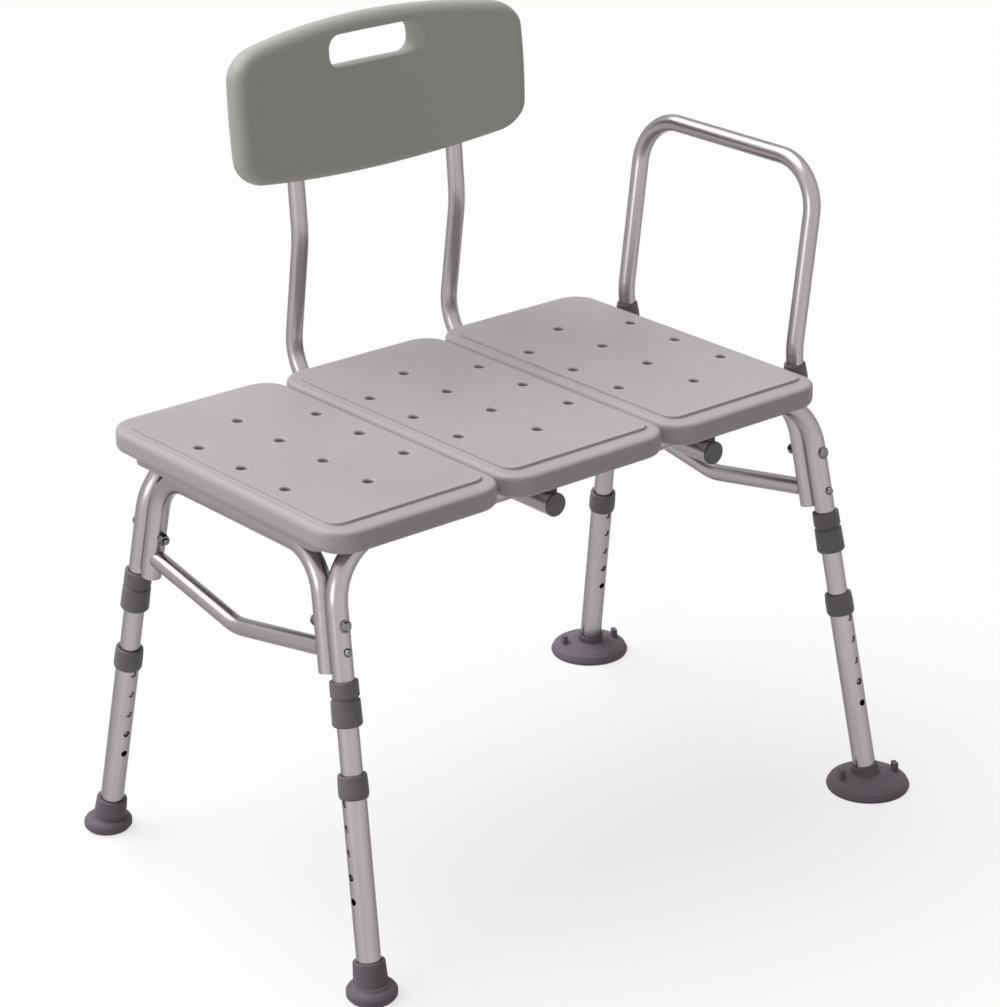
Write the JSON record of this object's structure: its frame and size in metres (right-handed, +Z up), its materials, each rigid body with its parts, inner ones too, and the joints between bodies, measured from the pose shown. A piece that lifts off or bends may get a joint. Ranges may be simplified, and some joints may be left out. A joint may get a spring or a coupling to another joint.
{
  "type": "transfer bench",
  "caption": "Bath transfer bench with moulded seat panels on a splayed tube frame, a plug-in back rest and arm rest, height-adjustable legs, rubber tips and suction feet",
  "frame": {"origin": "on the floor, under the middle of the whole bench's bounding box", "axes": "+X along the bench to the arm rest, +Y from the sitter to the back rest, +Z up"},
  "size_m": [0.779, 0.5734, 0.8481],
  "materials": {
    "seat_plastic": "light warm grey moulded plastic, finely grained",
    "back_plastic": "mid grey moulded plastic, finely grained",
    "tube": "satin anodised",
    "collar_plastic": "dark grey moulded plastic",
    "foot_rubber": "dark grey matte rubber",
    "fastener": "bright plated steel",
    "button_plastic": "black moulded plastic"
  },
  "bodies": {
    "frame": {"seat_panel_left": "seat_plastic", "seat_panel_middle": "seat_plastic", "seat_panel_right": "seat_plastic", "front_rail": "tube", "rear_rail": "tube", "end_frame_left": "tube", "end_frame_right": "tube", "brace_left": "tube", "brace_right": "tube", "frame_bolt_upper_left_front": "fastener", "frame_bolt_upper_left_rear": "fastener", "frame_bolt_upper_right_front": "fastener", "frame_bolt_upper_right_rear": "fastener", "frame_bolt_lower_left_front": "fastener", "frame_bolt_lower_left_rear": "fastener", "frame_bolt_lower_right_front": "fastener", "frame_bolt_lower_right_rear": "fastener", "frame_nut_left_front": "fastener", "frame_nut_left_rear": "fastener", "frame_nut_right_front": "fastener", "frame_nut_right_rear": "fastener", "back_receiver_left": "tube", "back_receiver_right": "tube", "receiver_plug_left": "collar_plastic", "receiver_plug_right": "collar_plastic", "receiver_bush_left": "collar_plastic", "receiver_bush_right": "collar_plastic", "armrest_socket_front": "collar_plastic", "armrest_socket_rear": "collar_plastic", "leg_upper_collar_left_front": "collar_plastic", "leg_upper_collar_left_rear": "collar_plastic", "leg_upper_collar_right_front": "collar_plastic", "leg_upper_collar_right_rear": "collar_plastic", "leg_inner_tube_left_front": "tube", "leg_inner_tube_left_rear": "tube", "leg_inner_tube_right_front": "tube", "leg_inner_tube_right_rear": "tube"},
    "leg_left_front": {"leg_lower_tube_left_front": "tube", "leg_lower_collar_left_front": "collar_plastic", "leg_foot_left_front": "foot_rubber"},
    "leg_left_rear": {"leg_lower_tube_left_rear": "tube", "leg_lower_collar_left_rear": "collar_plastic", "leg_foot_left_rear": "foot_rubber"},
    "leg_right_front": {"leg_lower_tube_right_front": "tube", "leg_lower_collar_right_front": "collar_plastic", "leg_foot_right_front": "foot_rubber"},
    "leg_right_rear": {"leg_lower_tube_right_rear": "tube", "leg_lower_collar_right_rear": "collar_plastic", "leg_foot_right_rear": "foot_rubber"},
    "button_left_front": {"leg_button_left_front": "fastener"},
    "button_left_rear": {"leg_button_left_rear": "fastener"},
    "button_right_front": {"leg_button_right_front": "fastener"},
    "button_right_rear": {"leg_button_right_rear": "fastener"},
    "back_rest": {"back_tube_left": "tube", "back_tube_right": "tube", "back_panel": "back_plastic"},
    "release_left": {"back_release_left": "button_plastic"},
    "release_right": {"back_release_right": "button_plastic"},
    "arm_rest": {"armrest_tube": "tube"}
  },
  "joints": [
    {"name": "height_left_front", "type": "slide", "parent": "frame", "child": "leg_left_front", "axis": [-0.0628, -0.1806, -0.9815], "range_m": [-0.0254, 0.0762]},
    {"name": "height_left_rear", "type": "slide", "parent": "frame", "child": "leg_left_rear", "axis": [-0.0628, 0.1806, -0.9815], "range_m": [-0.0254, 0.0762]},
    {"name": "height_right_front", "type": "slide", "parent": "frame", "child": "leg_right_front", "axis": [0.0628, -0.1806, -0.9815], "range_m": [-0.0254, 0.0762]},
    {"name": "height_right_rear", "type": "slide", "parent": "frame", "child": "leg_right_rear", "axis": [0.0628, 0.1806, -0.9815], "range_m": [-0.0254, 0.0762]},
    {"name": "snap_left_front", "type": "slide", "parent": "frame", "child": "button_left_front", "axis": [-0.998, 0.0057, 0.0628], "range_m": [0, 0.0041], "stiffness_N_per_m": 800, "springref_m": 0.006},
    {"name": "snap_left_rear", "type": "slide", "parent": "frame", "child": "button_left_rear", "axis": [-0.0057, -0.9835, -0.1806], "range_m": [0, 0.0041], "stiffness_N_per_m": 800, "springref_m": 0.006},
    {"name": "snap_right_front", "type": "slide", "parent": "frame", "child": "button_right_front", "axis": [-0.0057, -0.9835, 0.1806], "range_m": [0, 0.0041], "stiffness_N_per_m": 800, "springref_m": 0.006},
    {"name": "snap_right_rear", "type": "slide", "parent": "frame", "child": "button_right_rear", "axis": [0.0057, -0.9835, -0.1806], "range_m": [0, 0.0041], "stiffness_N_per_m": 800, "springref_m": 0.006},
    {"name": "back_rest_slide", "type": "slide", "parent": "frame", "child": "back_rest", "axis": [0, 1, 0], "range_m": [0, 0.12]},
    {"name": "release_press_left", "type": "slide", "parent": "frame", "child": "release_left", "axis": [0, 0, -1], "range_m": [0, 0.003], "stiffness_N_per_m": 800, "springref_m": -0.002},
    {"name": "release_press_right", "type": "slide", "parent": "frame", "child": "release_right", "axis": [0, 0, -1], "range_m": [0, 0.003], "stiffness_N_per_m": 800, "springref_m": -0.002},
    {"name": "armrest_lift", "type": "slide", "parent": "frame", "child": "arm_rest", "axis": [-0.0639, 0, 0.998], "range_m": [0, 0.045]}
  ]
}
